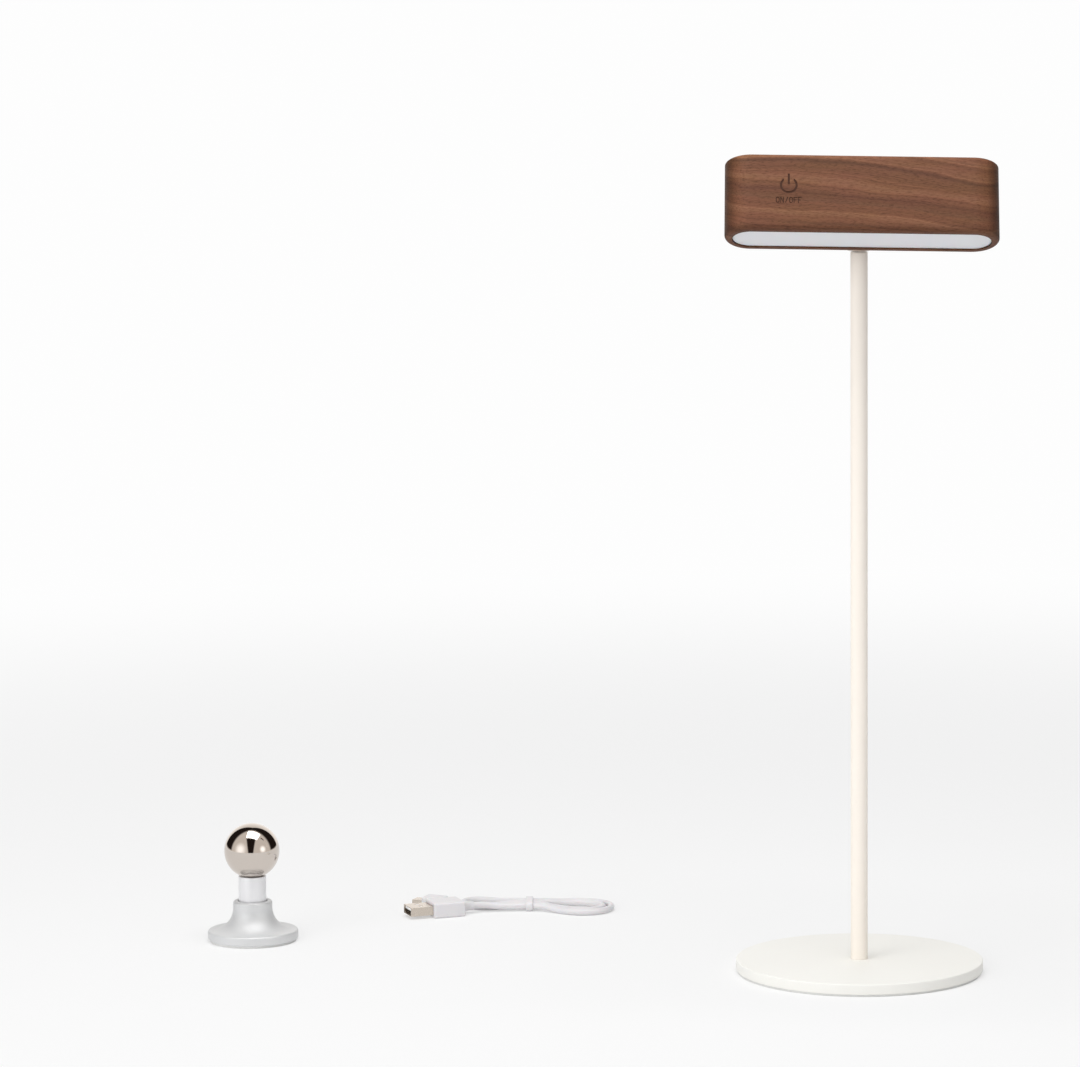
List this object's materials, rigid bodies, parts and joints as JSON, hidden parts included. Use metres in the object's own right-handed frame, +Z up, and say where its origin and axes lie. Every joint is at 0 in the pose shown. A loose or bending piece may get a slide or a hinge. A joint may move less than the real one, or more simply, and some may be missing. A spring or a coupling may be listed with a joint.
{
  "type": "desk lamp",
  "caption": "Battery bar lamp with a walnut head on a magnetic ball joint, a slim pole and a round base, with a spare ball mount and a tied charging cable.",
  "frame": {"origin": "middle of the base's underside, where it stands on the table", "axes": "+Z up the pole, -Y the lit front of the head, +X to the right seen from the front"},
  "size_m": [0.3837, 0.2289, 0.3905],
  "materials": {
    "white_coat": "satin cream-white powder coat",
    "foam": "white closed-cell foam",
    "dark_foam": "closed-cell foam",
    "steel": "bright zinc",
    "ball_chrome": "polished nickel",
    "black_nylon": "moulded",
    "walnut": "fine-sanded walnut",
    "frosted_acrylic": "frosted",
    "white_plastic": "moulded",
    "clear_plastic": "clear",
    "circuit_board": "white solder mask",
    "led_yellow": "phosphor",
    "copper": "foil",
    "cell_foil": "foil pouch",
    "nickel": "nickel plate",
    "lead_sleeve": "sleeved wire",
    "satin_aluminium": "satin",
    "cable_white": "soft moulded"
  },
  "bodies": {
    "stand": {"base_pad": "foam", "base_plate": "white_coat", "base_screw": "steel", "pole_tube": "white_coat", "foot_plug": "steel", "top_plug": "steel", "ball_stud": "steel", "mount_pad": "foam", "mount_base": "satin_aluminium", "mount_post": "satin_aluminium", "mount_ball": "ball_chrome", "mount_screw": "steel", "lead_usb": "cable_white", "cable_hank": "cable_white", "lead_micro": "cable_white", "cable_tie": "cable_white", "usb_a_body": "cable_white", "usb_a_shell": "nickel", "usb_a_tongue": "cable_white", "micro_usb_body": "cable_white", "micro_usb_shell": "nickel"},
    "ball": {"steel_ball": "ball_chrome"},
    "magnet_holder": {"magnet_cup": "steel", "ring_magnet": "steel", "ball_seat": "black_nylon", "cup_screw": "steel"},
    "head": {"battery_tape": "dark_foam", "touch_foam": "dark_foam", "tray_screws": "steel", "board_screws": "steel", "port_screws": "steel", "port_bezel": "black_nylon", "wood_shell": "walnut", "diffuser": "frosted_acrylic", "light_tray": "white_plastic", "board_standoffs": "white_plastic", "charge_light": "clear_plastic", "led_board": "circuit_board", "control_board": "circuit_board", "port_board": "circuit_board", "leds": "led_yellow", "touch_electrode": "copper", "battery_cell": "cell_foil", "charge_socket": "nickel", "led_leads": "lead_sleeve", "battery_leads": "lead_sleeve", "port_leads": "lead_sleeve"}
  },
  "joints": [
    {"name": "head_pan", "type": "hinge", "parent": "stand", "child": "ball", "pos_m": [0, 0, 0.3573], "axis": [0, 0, 1], "continuous": true},
    {"name": "head_tilt", "type": "hinge", "parent": "ball", "child": "magnet_holder", "pos_m": [0, 0, 0.3573], "axis": [-1, 0, 0], "range_deg": [-30, 63]},
    {"name": "head_roll", "type": "hinge", "parent": "magnet_holder", "child": "head", "pos_m": [0, 0, 0.3573], "axis": [0, -0.8965, 0.4431], "continuous": true}
  ]
}
